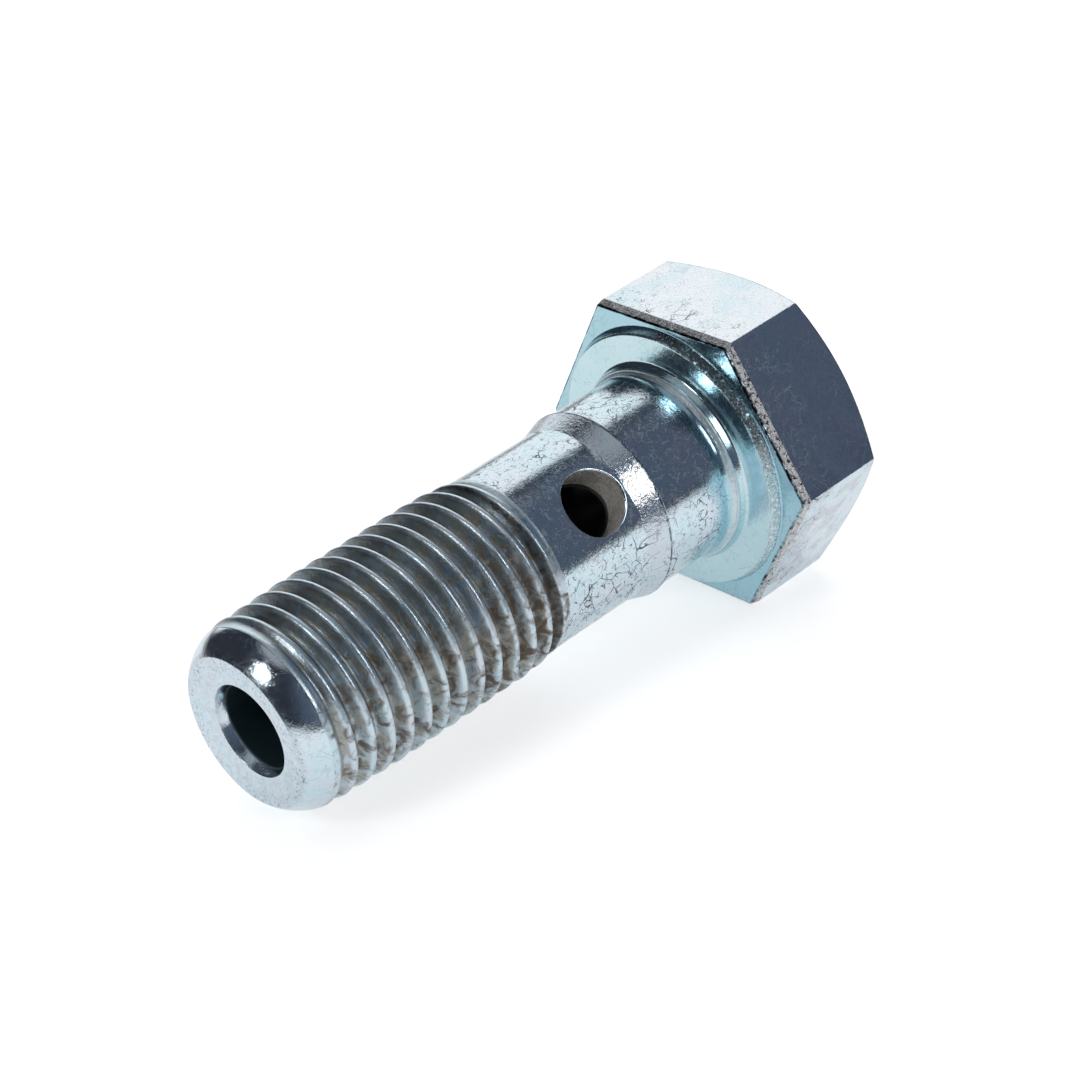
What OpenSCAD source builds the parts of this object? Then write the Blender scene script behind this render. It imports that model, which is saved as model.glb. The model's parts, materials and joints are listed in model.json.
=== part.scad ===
// Banjo bolt: a hexagon-headed hollow bolt for a fluid fitting, lying on one flat of its head.
// It is one solid piece of cold-headed steel with drilled flow passages. Sizes are in millimetres.
// It is drawn upright first, with the bearing face of the washer boss at height 0, the head above
// and the tip below, and is then laid down on one flat of the head and the rounding of the tip.

/* [Head] */
// Width of the hexagon across its flats
across_flats = 14.2; // [12.4:0.1:19]
// Height of the hexagon above its underside
head_h = 5.8; // [3.5:0.1:9]
// Radial distance from the flats in to the edge of the flat top
crown_inset = 0.35; // [0.1:0.05:1.2]
// Slope of the chamfer that runs round the top, in degrees
crown_angle = 30; // [15:1:40]
// Height of the worn bevel round the lower edge of the flats
edge_h = 0.5; // [0.1:0.05:0.8]
// Radial width of that bevel
edge_w = 0.1; // [0.04:0.02:0.3]

/* [Washer boss] */
// Height of the round washer boss under the hexagon
washer_h = 0.5; // [0.2:0.05:1.2]
// Radial distance from the flats in to the foot of the washer boss
washer_inset = 0.36; // [0.32:0.02:0.8]
// Radial draft of the washer boss, from its foot to its bearing face
washer_draft = 0.2; // [0.02:0.02:0.3]

/* [Die step] */
// Height of the small step that stands on the bearing face round the collar
step_h = 0.5; // [0.2:0.05:0.8]
// Radial width of the step's rim beyond the collar
step_rim = 0.25; // [0.1:0.01:0.4]
// Radial draft of the step, from its foot to its rim
step_draft = 0.16; // [0.01:0.01:0.3]
// Radius of the hollow fillet from the step down to the collar
fillet_r = 2.1; // [0.6:0.1:3]

/* [Collar] */
// Diameter of the collar that carries the eye of the fitting
collar_d = 9.4; // [9:0.02:10]
// Length from the bearing face to the edge of the collar
collar_l = 4.85; // [3.6:0.05:8]
// Height of the fine ridge that the die leaves on the collar's edge
ridge_h = 0.12; // [0.02:0.01:0.2]
// Length of the ridge's slope on the collar's side
ridge_l = 0.12; // [0.05:0.01:0.3]

/* [Shank] */
// Length of the tapered shoulder between the collar and the shank
shoulder_l = 1.2; // [0.6:0.05:2.5]
// Diameter of the plain shank, the blank that the thread is rolled on
shank_d = 8.88; // [7.6:0.02:9.3]
// Length of the plain shank
shank_l = 4.4; // [3.5:0.05:12]

/* [Thread envelope] */
// Diameter over the crests of the thread
thread_d = 9.4; // [9:0.01:10.4]
// Length over which the first crests rise out of the shank
runout_l = 2.7; // [1:0.1:4]
// Length of the thread at its full diameter
thread_l = 7.95; // [4:0.05:16]
// Length over which the crests get lower towards the tip
lead_l = 3.3; // [1:0.05:5]
// Radial drop of the crests over that length
lead_drop = 0.12; // [0.02:0.01:0.3]

/* [Tip] */
// Radius of the rounded edge of the tip
tip_round = 2.75; // [1.4:0.05:3.2]
// Radial distance from the last crest in to the flat end face
tip_drop = 0.95; // [0.4:0.05:1.3]

/* [Passages] */
// Diameter of the blind bore along the axis
bore_d = 4.1; // [2.6:0.1:5]
// Distance that the bore is drilled off the bolt's axis, towards one flat of the head
bore_off = 0.5; // [0:0.05:0.6]
// Radial flare of the bore's mouth
mouth_flare = 0.2; // [0.1:0.05:0.6]
// Depth of the flare
mouth_l = 0.5; // [0.2:0.05:1]
// Distance that the bore's full diameter goes beyond the axis of the cross hole
bore_past = 2.2; // [1.8:0.1:3]
// Point angle of the drill that makes the bore, in degrees
drill_angle = 118; // [90:1:140]
// Diameter of the cross hole, which goes through both walls
cross_d = 3.2; // [1.6:0.1:3.3]
// Distance from the end of the shoulder to the axis of the cross hole
cross_in = 1.8; // [1.7:0.05:2.7]
// Turn of the cross hole from the flat that the bore is nearest, in degrees
cross_turn = 12; // [0:1:30]

/* [Hidden] */
$fn = 128;

hex_sides = 6;
hex_turn = 360 / hex_sides;
drilled_flat = -2 * hex_turn;
zinc = [0.74, 0.79, 0.83];

// Radii of the head
flat_r = across_flats / 2;
corner_r = flat_r / cos(hex_turn / 2);
crown_r = flat_r - crown_inset;
crown_run = head_h / tan(crown_angle);
washer_foot_r = flat_r - washer_inset;
washer_face_r = washer_foot_r - washer_draft;
washer_root_r = washer_foot_r + washer_draft * edge_w / washer_h;

// Radii of the shaft, from the die step to the tip
collar_r = collar_d / 2;
step_rim_r = collar_r + step_rim;
step_foot_r = step_rim_r + step_draft;
ridge_r = collar_r + ridge_h;
shank_r = shank_d / 2;
thread_r = thread_d / 2;
lead_r = thread_r - lead_drop;
tip_center_r = lead_r - tip_round;
end_face_r = lead_r - tip_drop;

// Radii of the passages
bore_r = bore_d / 2;
mouth_r = bore_r + mouth_flare;
cross_r = cross_d / 2;

// Heights on the upright bolt, from the top of the head down to the tip
top_z = washer_h + head_h;
fillet_z = -step_h - sqrt(pow(fillet_r, 2) - pow(fillet_r - step_rim, 2));
ridge_z = -collar_l;
shank_z = ridge_z - shoulder_l;
runout_z = shank_z - shank_l;
thread_z = runout_z - runout_l;
lead_z = thread_z - thread_l;
round_z = lead_z - lead_l;
tip_h = sqrt(pow(tip_round, 2) - pow(tip_round - tip_drop, 2));
tip_z = round_z - tip_h;
cross_z = shank_z - cross_in;
bore_end_z = cross_z + bore_past;
drill_h = bore_r / tan(drill_angle / 2);

// The pose at rest: the lowest flat, where its bevel starts, and the rounding of the tip touch the ground
rest_z = washer_h + edge_h;
rest_run = rest_z - round_z;
rest_rise = flat_r - tip_center_r;
rest_tilt = atan2(rest_rise, rest_run) - asin(tip_round / norm([rest_run, rest_rise]));
rest_lift = flat_r * cos(rest_tilt) - rest_z * sin(rest_tilt);
head_x = top_z * cos(rest_tilt) + crown_r * sin(rest_tilt);
tip_x = tip_z * cos(rest_tilt) - end_face_r * sin(rest_tilt);

// Hexagonal prism with the chamfer of its crown
module hex_prism() {
    translate([0, 0, washer_h])
        intersection() {
            rotate(hex_turn / 2)
                cylinder(r = corner_r, h = head_h, $fn = hex_sides);
            cylinder(r1 = crown_r + crown_run, r2 = crown_r, h = head_h);
        }
}

// Wedge that bevels the lower edge of one flat
module edge_wedge() {
    rotate([90, 0, 0])
        linear_extrude(height = 2 * corner_r, center = true)
            polygon([
                [flat_r - 2 * edge_w, washer_h - edge_h],
                [flat_r + edge_w, washer_h - edge_h],
                [flat_r + edge_w, washer_h + 2 * edge_h]
            ]);
}

// Hexagon head without its washer boss
module head() {
    difference() {
        hex_prism();
        for (side = [0 : hex_sides - 1])
            rotate(side * hex_turn)
                edge_wedge();
    }
}

// Half section of the rounded end, from inside the last crests to the flat end face
module tip_section() {
    inner_h = tip_h + tip_round;
    translate([0, tip_z])
        square([tip_center_r, inner_h]);
    intersection() {
        translate([tip_center_r, round_z])
            circle(r = tip_round);
        translate([0, tip_z])
            square([lead_r, inner_h]);
    }
}

// Round cutter that hollows the fillet between the rim of the die step and the collar
module fillet_cutter() {
    intersection() {
        translate([collar_r + fillet_r, fillet_z])
            circle(r = fillet_r);
        translate([collar_r, fillet_z - fillet_r])
            square([fillet_r, fillet_r - fillet_z - step_h]);
    }
}

// Half section from the washer boss to the crests, with the hollow fillet cut round the collar
module body_section() {
    difference() {
        polygon([
            [0, washer_h + edge_w],
            [washer_root_r, washer_h + edge_w],
            [washer_face_r, 0],
            [step_foot_r, 0],
            [step_rim_r, -step_h],
            [step_rim_r, fillet_z],
            [collar_r, fillet_z],
            [collar_r, ridge_z + ridge_l],
            [ridge_r, ridge_z],
            [shank_r, shank_z],
            [shank_r, runout_z],
            [thread_r, thread_z],
            [thread_r, lead_z],
            [lead_r, round_z],
            [0, round_z]
        ]);
        fillet_cutter();
    }
}

// Blind bore along the bolt, a little off its axis: flared mouth, straight wall and drill point
module axial_bore() {
    rotate(drilled_flat)
        translate([bore_off, 0, 0])
            rotate_extrude()
                polygon([
                    [0, tip_z - mouth_l],
                    [mouth_r + mouth_flare, tip_z - mouth_l],
                    [bore_r, tip_z + mouth_l],
                    [bore_r, bore_end_z],
                    [0, bore_end_z + drill_h]
                ]);
}

// Cross hole through both walls of the shank, into the bore
module cross_hole() {
    translate([0, 0, cross_z])
        rotate(drilled_flat - cross_turn)
            rotate([0, 90, 0])
                cylinder(r = cross_r, h = 2 * thread_d, center = true);
}

// The bolt upright, its axis on Z
module upright_bolt() {
    difference() {
        union() {
            head();
            rotate_extrude() {
                body_section();
                tip_section();
            }
        }
        axial_bore();
        cross_hole();
    }
}

// The bolt lying on the ground, its head towards +X, centred over the origin
module banjo_bolt() {
    color(zinc)
        translate([-(head_x + tip_x) / 2, 0, rest_lift])
            rotate([0, 90 - rest_tilt, 0])
                upright_bolt();
}

banjo_bolt();
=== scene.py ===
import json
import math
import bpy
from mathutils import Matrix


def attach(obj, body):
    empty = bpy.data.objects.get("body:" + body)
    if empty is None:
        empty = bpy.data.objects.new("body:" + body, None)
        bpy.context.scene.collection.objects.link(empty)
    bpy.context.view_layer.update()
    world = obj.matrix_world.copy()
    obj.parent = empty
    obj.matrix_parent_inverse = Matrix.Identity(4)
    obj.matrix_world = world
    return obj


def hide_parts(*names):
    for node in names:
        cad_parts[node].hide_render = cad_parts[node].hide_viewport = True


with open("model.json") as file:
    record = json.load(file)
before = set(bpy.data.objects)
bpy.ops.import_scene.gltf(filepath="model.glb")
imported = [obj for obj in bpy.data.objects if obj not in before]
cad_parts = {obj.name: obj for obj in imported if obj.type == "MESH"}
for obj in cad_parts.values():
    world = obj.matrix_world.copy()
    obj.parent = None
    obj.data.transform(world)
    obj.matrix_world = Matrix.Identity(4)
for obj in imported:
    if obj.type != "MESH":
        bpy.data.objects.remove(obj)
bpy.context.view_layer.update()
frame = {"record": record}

# A banjo bolt: a hollow hexagon-headed bolt of blue zinc-plated steel, lying on one flat of its head.
# The whole bolt is one closed mesh. It is drawn upright in millimetres, with its axis on Z, the head
# above and the bearing face of the washer boss at height 0, and is then laid down where the frame has it.
# Angles run about the axis, counter-clockwise seen from the head, from the lowest flat of the head.

from types import SimpleNamespace

import bpy
import numpy as np
from mathutils import Matrix, Vector

NODE, BODY, SLOT = "banjo_bolt", "root", "zinc_plate"
MM = 0.001

# Head: FLAT_R is from the axis to a flat, CROWN_R to the edge of the flat top
FLAT_R = 7.1
HEAD_H = 5.8
CROWN_R = 6.75
CROWN_SLOPE = math.tan(math.radians(30))
LOWER_BEVEL_H, LOWER_BEVEL_W = 0.5, 0.1
CORNER_ROUND = 0.14
# Washer boss and die step
WASHER_H = 0.5
WASHER_FOOT_R, WASHER_FACE_R = 6.74, 6.54
STEP_H = 0.5
STEP_FOOT_R, STEP_RIM_R = 5.11, 4.95
# The worn step has a narrow land at its rim, and a hollow there that is tighter than the solid's fillet
STEP_LAND, LAND_DROP = 0.07, 0.02
HOLLOW_R, FILLET_R = 1.0, 2.1
# Collar, ridge, shoulder and shank
COLLAR_R = 4.7
COLLAR_L = 4.85
RIDGE_H, RIDGE_L = 0.12, 0.12
SHOULDER_L = 1.2
SHANK_R = 4.44
SHANK_L = 4.4
# Thread: right-handed, 24 to the inch
THREAD_R = 4.7
PITCH = 25.4 / 24
THREAD_DEPTH = 0.64
RUNOUT_L, THREAD_L, LEAD_L = 2.7, 7.95, 3.3
LEAD_DROP = 0.12
# The height of one crest, and the angle at which it has it
CREST_Z, CREST_TURN = -12.8, 186.2
# Where the rolled thread starts in the run-out, and over what lengths its crests rise and its grooves deepen
START_IN, START_RISE_L, START_DEPTH_L = 0.72, 0.5, 0.7
# How far the grooves reach into the rounding of the tip, and over what length they fade
TIP_FADE_PAST, TIP_FADE_L = 0.95, 1.25
# The most that wear takes off a crest
CREST_WEAR = 0.035
# Tip
TIP_ROUND = 2.75
TIP_DROP = 0.95
# Passages
BORE_R = 2.05
BORE_OFF, BORE_TURN = 0.5, 240.0
MOUTH_FLARE, MOUTH_L = 0.2, 0.5
BORE_PAST = 2.2
DRILL_ANGLE = 118
CROSS_R = 1.6
CROSS_IN = 1.8
CROSS_TURN = 228.0
CROSS_TURNS = [math.radians(CROSS_TURN), math.radians(CROSS_TURN - 180.0)]
# The rounded outer edge of the cross hole, and the broken edge at the bore
RIM_ROUND, EDGE_BREAK = 0.1, 0.05
# Radii of the edges along the outline
CROWN_ROUND, SIDE_ROUND, BEVEL_ROUND, UNDERSIDE_ROUND = 0.25, 0.12, 0.9, 0.09
WASHER_FOOT_ROUND, WASHER_FACE_ROUND = 0.1, 0.14
STEP_FOOT_ROUND, STEP_RIM_ROUND, LAND_ROUND = 0.14, 0.05, 0.03
RIDGE_FOOT_ROUND, RIDGE_ROUND, SHOULDER_ROUND = 0.06, 0.04, 0.9
END_ROUND, MOUTH_ROUND, FLARE_ROUND = 0.22, 0.06, 0.3

# Heights, from the top of the head down to the tip
TOP_Z = WASHER_H + HEAD_H
FILLET_Z = -STEP_H - math.sqrt(FILLET_R ** 2 - (FILLET_R - (STEP_RIM_R - COLLAR_R)) ** 2)
RIDGE_Z = -COLLAR_L
SHANK_Z = RIDGE_Z - SHOULDER_L
RUNOUT_Z = SHANK_Z - SHANK_L
FULL_Z = RUNOUT_Z - RUNOUT_L
LEAD_Z = FULL_Z - THREAD_L
ROUND_Z = LEAD_Z - LEAD_L
LEAD_R = THREAD_R - LEAD_DROP
TIP_Z = ROUND_Z - math.sqrt(TIP_ROUND ** 2 - (TIP_ROUND - TIP_DROP) ** 2)
CROSS_Z = SHANK_Z - CROSS_IN
BORE_END_Z = CROSS_Z + BORE_PAST
DRILL_TIP_Z = BORE_END_Z + BORE_R / math.tan(math.radians(DRILL_ANGLE / 2))
THREAD_START_Z, THREAD_END_Z = RUNOUT_Z - START_IN, ROUND_Z - TIP_FADE_PAST

BORE_CENTRE = BORE_OFF * np.array([math.cos(math.radians(BORE_TURN)), math.sin(math.radians(BORE_TURN))])

# One pitch of the thread, from crest to root: share of the pitch, share of the depth
THREAD_FORM = [(0.0, 0.0), (0.05, 0.012), (0.09, 0.05), (0.13, 0.125), (0.21, 0.37),
               (0.31, 0.68), (0.39, 0.91), (0.44, 0.98), (0.5, 1.0)]

# Columns of the mesh: every 2 degrees, with four more at each corner of the hexagon
CORNERS = np.arange(30.0, 360.0, 60.0)
CORNER_ANGLE = math.degrees(math.atan2(CORNER_ROUND / 2, FLAT_R / math.cos(math.radians(30))))
AT_CORNERS = [corner + CORNER_ANGLE * np.array([-1.0, -0.5, 0.5, 1.0]) for corner in CORNERS]
COLUMNS = np.unique(np.round(np.concatenate([np.arange(0.0, 360.0, 2.0)] + AT_CORNERS), 6))
TURNS = np.radians(COLUMNS)
N = len(COLUMNS)

# Longest edge along the outline, the first ring on the head's top, and the flat beside an edge of the tip
LONGEST = 0.5
HEAD_MIDDLE_R, FACE_REACH = 0.5, 0.5
# Steps of the mesh along the outline and through the cross hole, and the rings down the drill point
HOLLOW_STEPS, TIP_STEPS, FACE_STEPS = 8, 14, 8
RIM_STEPS, WALL_STEPS, EDGE_STEPS = 4, 8, 2
POINT_SHARES = (0.35, 0.7)
# The plain shaft starts just under the ridge, and the head's part of the mesh ends a little lower
UNDER_RIDGE, HEAD_PAST = 0.02, 0.14
# Steps down the shoulder and the shank, where the shank's begin, and the least step before the next height
SLOPE_STEP, SHANK_STEP, STRAIGHT_IN, STEP_GAP = 0.24, 0.2, 0.4, 0.1
# Turns of the helix above and below the crest at CREST_Z, and the gap between it and the rings at its ends
TURNS_ABOVE, TURNS_BELOW, THREAD_GAP = 3, 16, 0.012
# Windows that are cut in the shank and the bore round the cross hole: half height, half width in degrees
WINDOW_H, WINDOW_TURN = 2.0, 28.0
BORE_WINDOW_H, BORE_WINDOW_TURN = 1.95, 66.0
# Where the loops from a window in the shank to the rim lie, and the rings up to the bore's windows and past
WINDOW_SHARES = (0.3, 0.55, 0.75, 0.9)
BORE_STEPS, BORE_WINDOW_STEPS = 15, 16
# Arcs at the edges: each takes at most ARC_SHARE of a side. Its supporting points are SUPPORT times as far
# from the corner as its ends, and at most SUPPORT_SHARE of the side
ARC_STEPS, ARC_SHARE, SUPPORT, SUPPORT_SHARE = 4, 0.4, 1.4, 0.46

# Camera, in degrees and millimetres, for a square picture
CAMERA_AZIMUTH, CAMERA_ELEVATION, CAMERA_ROLL = 42.694, 28.237, -3.700
CAMERA_AIM, CAMERA_DISTANCE = (1.645, 0.315, 6.0), 132.85
CAMERA_LENS, CAMERA_SENSOR = 96.26, 36.0
CAMERA_CLIP = (0.01, 10.0)  # in metres

# Floor, in metres. Its lift is the light that it gives off towards the camera and in reflections, where it
# is a lit table in a dim room
FLOOR_SIZE = 1.5
FLOOR_COLOR, FLOOR_FAR_COLOR = (0.8, 0.79, 0.775), (0.1, 0.1, 0.11)
FLOOR_LIFT, FLOOR_MIRROR_LIFT = 0.65, 0.42
TABLE_FROM, TABLE_TO = 0.05, 0.12
# Studio: azimuths run from +Y towards +X, in degrees. A white backdrop stands beyond the bolt, a soft
# panel hangs overhead, and the rest of the room is dim. The fill lamp doesn't show in the metal.
BACKDROP_AZIMUTH, BACKDROP_SIDE, BACKDROP_TOP, BACKDROP_EDGE = 40.0, 31.0, 57.0, (0.8, 1.2)
BACKDROP_COLOR = (1.0, 1.0, 1.0)
PANEL_FROM, PANEL_SOFT, PANEL_COLOR = 66.0, 4.0, (0.35, 0.36, 0.38)
ROOM_COLOR, ROOM_DARK_COLOR = (0.085, 0.1, 0.14), (0.03, 0.032, 0.042)
ROOM_AZIMUTH, ROOM_EDGE = 140.0, (-0.1, 0.5)
LAMPS = [  # name, azimuth, elevation, width and height in metres, watts, whether it shows in the metal
    ("key", -85.0, 42.0, 0.13, 0.2, 0.5, True),
    ("side", 178.0, 36.0, 0.18, 0.3, 0.55, True),
    ("fill", 30.0, 66.0, 0.8, 0.8, 1.5, False),
]
LAMP_DISTANCE = 0.6

# Colours of the metal under white light, among them painted highlight and painted shade
# The bright zinc is a painted reflection of the backdrop, for the uppermost flat
ZINC, ZINC_HIGHLIGHT, ZINC_GREY = (0.72, 0.85, 0.92), (0.86, 0.92, 0.96), (0.55, 0.6, 0.68)
ZINC_LILAC, ZINC_CYAN = (0.74, 0.80, 0.88), (0.64, 0.84, 0.92)
# The deep teal is painted shade, for the hollows under the head
TEAL_FILM, TEAL_SHADE = (0.6, 0.81, 0.86), (0.33, 0.6, 0.72)
# The slate thread colour is painted shade on the flanks, mixed with a dull olive film
THREAD_SLATE_SHADE, THREAD_OLIVE = (0.38, 0.47, 0.54), (0.37, 0.39, 0.36)
# The bore's near-black is painted shade
BORE_SHADE, WALL_FILM = (0.03, 0.06, 0.075), (0.97, 0.93, 0.86)
# Colours of the dirt and the worn places, and a black for painted shade
CRACK = (0.045, 0.056, 0.085)
STAIN = (0.16, 0.1, 0.058)
CREAM = (0.66, 0.64, 0.55)
SCUFF = (0.93, 0.93, 0.92)
GRIT = (0.06, 0.05, 0.045)
# A near-black for painted shade: in the seam under the die's edge and deep in the bore
SHADE_BLACK = (0.012, 0.014, 0.018)
# Bands of height that have a finish of their own: from, to, softness of both ends
BANDS = {
    "die_edge": (WASHER_H + 0.15, WASHER_H + LOWER_BEVEL_H - 0.02, 0.05),
    "seam": (WASHER_H - 0.05, WASHER_H + 0.1, 0.03),
    "washer_wall": (0.06, WASHER_H + 0.1, 0.08),
    # washer_foot and hollow are the hollows that are painted deeper teal as shade
    "washer_foot": (0.1, WASHER_H - 0.02, 0.1),
    "rim": (-STEP_H - 0.35, -STEP_H + 0.05, 0.1),
    "hollow": (FILLET_Z + 0.3, -STEP_H - 0.05, 0.4),
    # ridge is the band under the ridge that is painted dark as shade
    "ridge": (RIDGE_Z - 0.07, RIDGE_Z - 0.02, 0.03),
    "shoulder": (SHANK_Z + 0.12, RIDGE_Z - 0.08, 0.12),
    "cross_hole": (CROSS_Z - CROSS_R - 0.1, CROSS_Z + CROSS_R + 0.1, 0.05),
    "first_groove": (THREAD_START_Z - 0.8, THREAD_START_Z - 0.05, 0.1),
    "thread": (THREAD_END_Z + 0.1, THREAD_START_Z - 0.02, 0.06),
    "bore": (TIP_Z + 0.6, DRILL_TIP_Z + 0.2, 0.25),
}
# Heights between which the bore is painted darker inward as shade and the cracks thin out, and from which
# the stains thicken
BORE_SHADE_Z = (-15.0, -12.0)
STAIN_FROM_Z = -20.0
FEWER_CRACKS = (1.5, 3.5)
# Where round the axis the shoulder is scuffed, with a painted highlight there too, and the washer boss is
# gritty or scaled, in radians
SCUFF_SHEEN_TURNS, GRIT_TURNS, SCALE_TURNS = (-2.37, -2.02), (-3.1, -2.05), (-1.85, -0.7)
# Where the uppermost flat is, by the cosine of the turn, and each corner, in degrees from the nearest flat
UPPER_COSINES, CORNER_ANGLES = (-0.88, -0.85), (29.3, 28.0)
# Where the head is painted greyer downward as shade, and the end face speckled outward
HEAD_SHADE_X, FACE_SPECK_R = (-5.0, 2.0), (2.6, 3.6)
# Noises of the finish: scale to the millimetre, detail, roughness, distortion
NOISES = {
    "drift": (0.45, 2.0, 0.55, 0.0),
    "cloud": (0.8, 2.0, 0.6, 0.0),
    "soiling": (1.4, 3.0, 0.65, 0.8),
    "mottle": (2.6, 3.0, 0.6, 0.6),
    "pits": (6.5, 2.0, 0.65, 0.4),
    "grain": (11.0, 2.0, 0.6, 0.9),
}
# How far two of them warp the crazing, in millimetres
WARPS = {"drift": 1.4, "soiling": 0.15}
# Crazing: cells to the millimetre, width of a line in cells, noise from which there is any, strength
CRAZING = [(0.9, 0.026, 0.54, 1.0), (2.2, 0.055, 0.52, 1.0), (4.0, 0.09, 0.55, 0.8)]
# Roughness of the plate at its brightest and its dullest, and what each place adds to it
ROUGHNESS = 0.08, 0.17
ROUGHER = {"threaded": 0.22, "shoulder": 0.08, "coarse": 0.15, "end_face": 0.12, "dirty": 0.3, "rim": 0.22}
# How far each place is from bare metal
DIELECTRIC = {"dull": 0.75, "in_wall": 0.45, "die_edge": 0.45, "cracks": 0.9}
# Relief in millimetres: the plate's unevenness, less on the head, and the pits of each place
PLATE_RELIEF, HEAD_RELIEF = 0.011, 0.007
PITTED = {"die_edge": 0.22, "grit": 0.06, "scale": 0.06, "rim": 0.036, "shoulder": 0.02, "threaded": 0.018,
          "corner": 0.015, "crown_edge": 0.015}


def smooth(x, lo, hi):
    """0 at lo, 1 at hi, and an eased ramp between."""
    t = np.clip((np.asarray(x, float) - lo) / (hi - lo), 0.0, 1.0)
    return t * t * (3.0 - 2.0 * t)


def rounded(points, radii):
    """An outline in which each inner point becomes an arc of its radius, between two supporting points."""
    points = [np.asarray(p, float) for p in points]
    out = [points[0]]
    for before, here, after, radius in zip(points, points[1:], points[2:], radii):
        if radius == 0:
            out.append(here)
            continue
        a, b = before - here, after - here
        a_len, b_len = np.linalg.norm(a), np.linalg.norm(b)
        a, b = a / a_len, b / b_len
        half = math.acos(np.clip(a @ b, -1.0, 1.0)) / 2
        reach = min(radius / math.tan(half), ARC_SHARE * a_len, ARC_SHARE * b_len)
        centre = here + (a + b) / np.linalg.norm(a + b) * (reach / math.cos(half))
        start, end = here + a * reach - centre, here + b * reach - centre
        sweep = math.copysign(math.pi - 2 * half, start[0] * end[1] - start[1] * end[0])
        out.append(here + a * min(SUPPORT * reach, SUPPORT_SHARE * a_len))
        for k in range(ARC_STEPS + 1):
            c, s = math.cos(sweep * k / ARC_STEPS), math.sin(sweep * k / ARC_STEPS)
            out.append(centre + np.array([c * start[0] - s * start[1], s * start[0] + c * start[1]]))
        out.append(here + b * min(SUPPORT * reach, SUPPORT_SHARE * b_len))
    out.append(points[-1])
    return np.array(out)


def parts_between(a, b):
    """How many rings a stretch of the outline needs, for the longest of its columns."""
    return max(1, math.ceil(float(np.linalg.norm(b - a, axis=-1).max()) / LONGEST - 1e-9))


def hexagon_r(turn):
    """Distance from the axis to the side of the hexagon at an angle, with the corners rounded."""
    off = (math.degrees(turn) + 30.0) % 60.0 - 30.0
    beta = math.radians(30.0 - abs(off))
    centre = (FLAT_R - CORNER_ROUND) / math.cos(math.radians(30.0))
    reach = CORNER_ROUND ** 2 - (centre * math.sin(beta)) ** 2
    flat = FLAT_R / math.cos(math.radians(off))
    if math.degrees(beta) > CORNER_ANGLE + 1e-6 or reach < 0:
        return flat
    return min(flat, centre * math.cos(beta) + math.sqrt(reach))


def head_outline(turn):
    """Half section at an angle, from the middle of the head's top down to the run-out: radii and heights."""
    side = hexagon_r(turn)
    foot = side * (1 - LOWER_BEVEL_W / FLAT_R)
    crown_drop = (side - CROWN_R) * CROWN_SLOPE
    land_r, land_z = STEP_RIM_R - STEP_LAND, -STEP_H - LAND_DROP
    start = math.acos(1 - (land_r - COLLAR_R) / HOLLOW_R)
    foot_z = land_z - HOLLOW_R * math.sin(start)
    hollow = [((COLLAR_R + HOLLOW_R * (1 - math.cos(t)), foot_z + HOLLOW_R * math.sin(t)), 0.0)
              for t in np.linspace(start, 0.0, HOLLOW_STEPS + 1)[1:]]
    corners = [
        ((HEAD_MIDDLE_R, TOP_Z), 0.0),
        ((CROWN_R, TOP_Z), CROWN_ROUND),
        ((side, TOP_Z - crown_drop), SIDE_ROUND),
        ((side, WASHER_H + LOWER_BEVEL_H), BEVEL_ROUND),
        ((foot, WASHER_H), UNDERSIDE_ROUND),
        ((WASHER_FOOT_R, WASHER_H), WASHER_FOOT_ROUND),
        ((WASHER_FACE_R, 0.0), WASHER_FACE_ROUND),
        ((STEP_FOOT_R, 0.0), STEP_FOOT_ROUND),
        ((STEP_RIM_R, -STEP_H), STEP_RIM_ROUND),
        ((land_r, land_z), LAND_ROUND),
        *hollow,
        ((COLLAR_R, RIDGE_Z + RIDGE_L), RIDGE_FOOT_ROUND),
        ((COLLAR_R + RIDGE_H, RIDGE_Z), RIDGE_ROUND),
        ((SHANK_R, SHANK_Z), SHOULDER_ROUND),
        ((SHANK_R, RUNOUT_Z), 0.0),
    ]
    return rounded([p for p, _ in corners], [r for _, r in corners[1:]])


# Outline of the plain shaft, from under the ridge down to the run-out
SHAFT = head_outline(0.0)
SHAFT = SHAFT[SHAFT[:, 1] < RIDGE_Z - UNDER_RIDGE]


def shaft_r(z):
    """Radius of the plain shaft between the ridge and the run-out."""
    return np.interp(-np.asarray(z, float), -SHAFT[:, 1], SHAFT[:, 0])


def crest_r(z):
    """Radius over the crests of the thread, with the run-out, the lead and the rounding of the tip."""
    z = np.asarray(z, float)
    past = np.clip(ROUND_Z - z, 0.0, TIP_ROUND)
    rounding = np.sqrt(TIP_ROUND ** 2 - past ** 2) - TIP_ROUND
    outline = np.interp(-z, [-RUNOUT_Z, -FULL_Z, -LEAD_Z, -ROUND_Z], [SHANK_R, THREAD_R, THREAD_R, LEAD_R])
    start = smooth(-z, -THREAD_START_Z, START_RISE_L - THREAD_START_Z)
    return rounding + SHANK_R + (outline - SHANK_R) * start


def root_r(z):
    """Radius at the roots of the thread: they deepen along the run-out and run out again in the rounding."""
    z = np.asarray(z, float)
    full = np.minimum(THREAD_R - THREAD_DEPTH, crest_r(z))
    start = smooth(-z, -THREAD_START_Z, START_DEPTH_L - THREAD_START_Z)
    end = smooth(-z, -THREAD_END_Z - TIP_FADE_L, -THREAD_END_Z)
    return crest_r(z) + (full - crest_r(z)) * start * (1 - end)


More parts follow.
